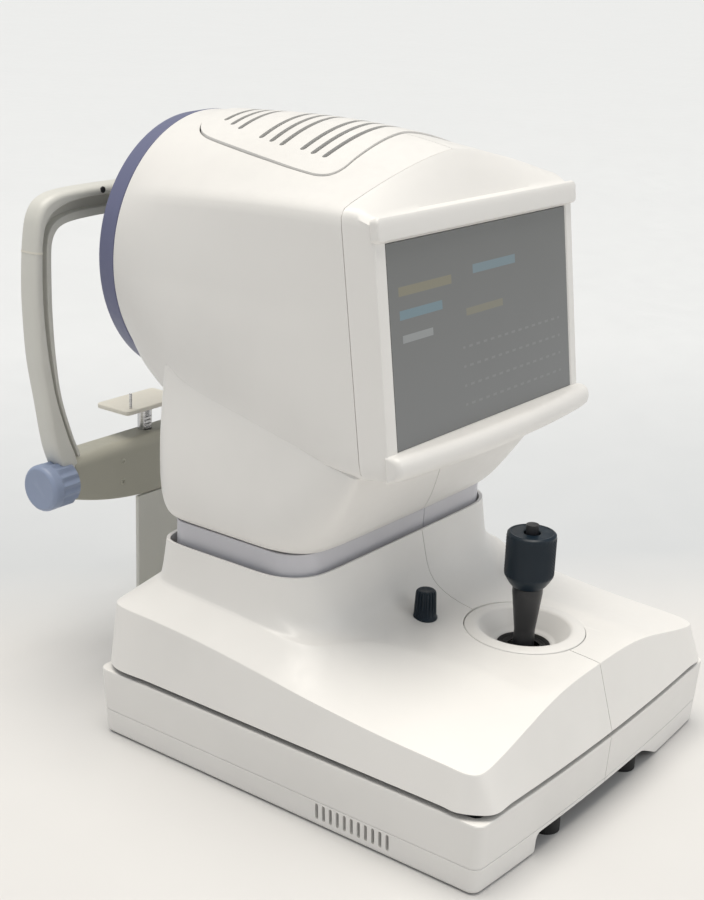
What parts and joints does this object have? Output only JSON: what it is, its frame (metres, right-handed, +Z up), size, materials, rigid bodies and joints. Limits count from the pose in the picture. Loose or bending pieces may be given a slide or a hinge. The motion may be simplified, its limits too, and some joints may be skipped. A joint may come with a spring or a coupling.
{
  "type": "ophthalmic measuring instrument",
  "caption": "Table-top eye-measuring instrument: joystick stage, lifting head with a tilted screen, ringed patient window, chin tray and arched forehead rest.",
  "frame": {"origin": "on the table, under the middle of the whole object's outline", "axes": "+Z up, -Y towards the operator and screen, +Y towards the patient, +X to the operator's right"},
  "size_m": [0.32, 0.4755, 0.4498],
  "materials": {
    "ivory_plastic": "fine satin moulding",
    "collar_grey": "satin lavender grey",
    "chinrest_grey": "satin paint",
    "tray_white": "satin",
    "ring_blue": "satin blue grey",
    "black_plastic": "fine texture",
    "black_rubber": "matt",
    "soft_pad": "soft silicone",
    "display_glass": "anti-glare cover",
    "display_dark": "satin",
    "cone_white": "white with dark rings",
    "lens_glass": "coated lens",
    "plate_steel": "zinc",
    "stage_metal": "milled",
    "bright_steel": "ground",
    "nut_brass": "turned",
    "board_green": "circuit board"
  },
  "bodies": {
    "base": {"base_plate": "plate_steel", "lower_shell_left": "ivory_plastic", "lower_shell_right": "ivory_plastic", "base_deck": "plate_steel", "deck_pillars": "plate_steel", "rubber_feet": "black_rubber", "foot_screws": "bright_steel", "power_supply": "plate_steel", "stage_control_board": "board_green", "power_inlet": "black_plastic", "switch_frame": "black_plastic", "fore_aft_rails": "plate_steel", "friction_pad": "black_plastic", "chinrest_bracket": "chinrest_grey", "chinrest_post": "chinrest_grey", "chinrest_beam": "chinrest_grey", "headrest_arch": "chinrest_grey", "eye_level_marks": "tray_white", "forehead_pad": "soft_pad", "headrest_screws": "bright_steel"},
    "mains_switch": {"power_switch": "black_plastic"},
    "fore_aft_stage": {"y_carriage": "stage_metal", "cross_rods": "bright_steel"},
    "side_stage": {"x_carriage": "stage_metal", "lift_column": "stage_metal", "lift_motor": "stage_metal", "upper_cover_left": "ivory_plastic", "upper_cover_right": "ivory_plastic", "joystick_well": "ivory_plastic"},
    "tilt_ring": {"joystick_gimbal": "black_plastic"},
    "joystick": {"joystick_stick": "black_plastic"},
    "grip": {"joystick_grip": "black_plastic"},
    "trigger": {"joystick_button": "black_plastic"},
    "dial": {"brightness_dial": "black_plastic"},
    "lead_screw": {"lift_screw": "bright_steel"},
    "head": {"head_chassis": "stage_metal", "lift_nut": "nut_brass", "neck_collar": "collar_grey", "neck_shell_left": "ivory_plastic", "neck_shell_right": "ivory_plastic", "head_shell_left": "ivory_plastic", "head_shell_right": "ivory_plastic", "top_vent_cover": "ivory_plastic", "screen_bezel": "ivory_plastic", "screen_glass": "display_glass", "display_panel": "display_dark", "patient_end_ring": "ring_blue", "patient_face": "black_plastic", "ring_pattern_cone": "cone_white", "objective_barrel": "black_plastic", "objective_lens": "lens_glass", "ring_light_board": "board_green", "optics_block": "stage_metal", "computer_board": "board_green"},
    "chin_lift": {"chin_tray": "tray_white", "chin_stem": "bright_steel", "paper_pins": "bright_steel"},
    "chin_drive": {"chin_knob": "ring_blue", "chin_shaft": "bright_steel", "chin_pinion": "bright_steel"}
  },
  "joints": [
    {"name": "stage_fore_aft", "type": "slide", "parent": "base", "child": "fore_aft_stage", "axis": [0, 1, 0], "range_m": [-0.016, 0.016]},
    {"name": "stage_sideways", "type": "slide", "parent": "fore_aft_stage", "child": "side_stage", "axis": [1, 0, 0], "range_m": [-0.04, 0.04]},
    {"name": "head_lift", "type": "slide", "parent": "side_stage", "child": "head", "axis": [0, 0, 1], "range_m": [-0.015, 0.015]},
    {"name": "lift_screw_turn", "type": "hinge", "parent": "side_stage", "child": "lead_screw", "pos_m": [0.062, 0.005, 0.12], "axis": [0, 0, 1], "range_deg": [-1400, 1400]},
    {"name": "joystick_fore_aft", "type": "hinge", "parent": "side_stage", "child": "tilt_ring", "pos_m": [0.014, -0.156, 0.08], "axis": [1, 0, 0], "range_deg": [-12, 12]},
    {"name": "joystick_sideways", "type": "hinge", "parent": "tilt_ring", "child": "joystick", "pos_m": [0.014, -0.156, 0.08], "axis": [0, 1, 0], "range_deg": [-12, 12]},
    {"name": "joystick_turn", "type": "hinge", "parent": "joystick", "child": "grip", "pos_m": [0.014, -0.156, 0.16], "axis": [0, 0, 1], "range_deg": [-560, 560]},
    {"name": "joystick_button_press", "type": "slide", "parent": "joystick", "child": "trigger", "axis": [0, 0, 1], "range_m": [-0.002, 0], "stiffness_N_per_m": 600, "springref_m": 0.001},
    {"name": "dial_turn", "type": "hinge", "parent": "side_stage", "child": "dial", "pos_m": [-0.025, -0.095, 0.11], "axis": [0, 0, 1], "range_deg": [-135, 135]},
    {"name": "mains_switch_rock", "type": "hinge", "parent": "base", "child": "mains_switch", "pos_m": [0.111, 0.0974, 0.0345], "axis": [1, 0, 0], "range_deg": [-10, 10]},
    {"name": "chin_rest_lift", "type": "slide", "parent": "base", "child": "chin_lift", "axis": [0, 0, 1], "range_m": [-0.011, 0.045]},
    {"name": "chin_knob_turn", "type": "hinge", "parent": "base", "child": "chin_drive", "pos_m": [0, 0.202, 0.159], "axis": [1, 0, 0], "range_deg": [-125, 480]}
  ],
  "couplings": [
    {"joint": "lift_screw_turn", "follows": "head_lift", "rad_per_m": 1570.8},
    {"joint": "joystick_turn", "follows": "head_lift", "rad_per_m": 628.32},
    {"joint": "chin_knob_turn", "follows": "chin_rest_lift", "rad_per_m": 181.82}
  ]
}
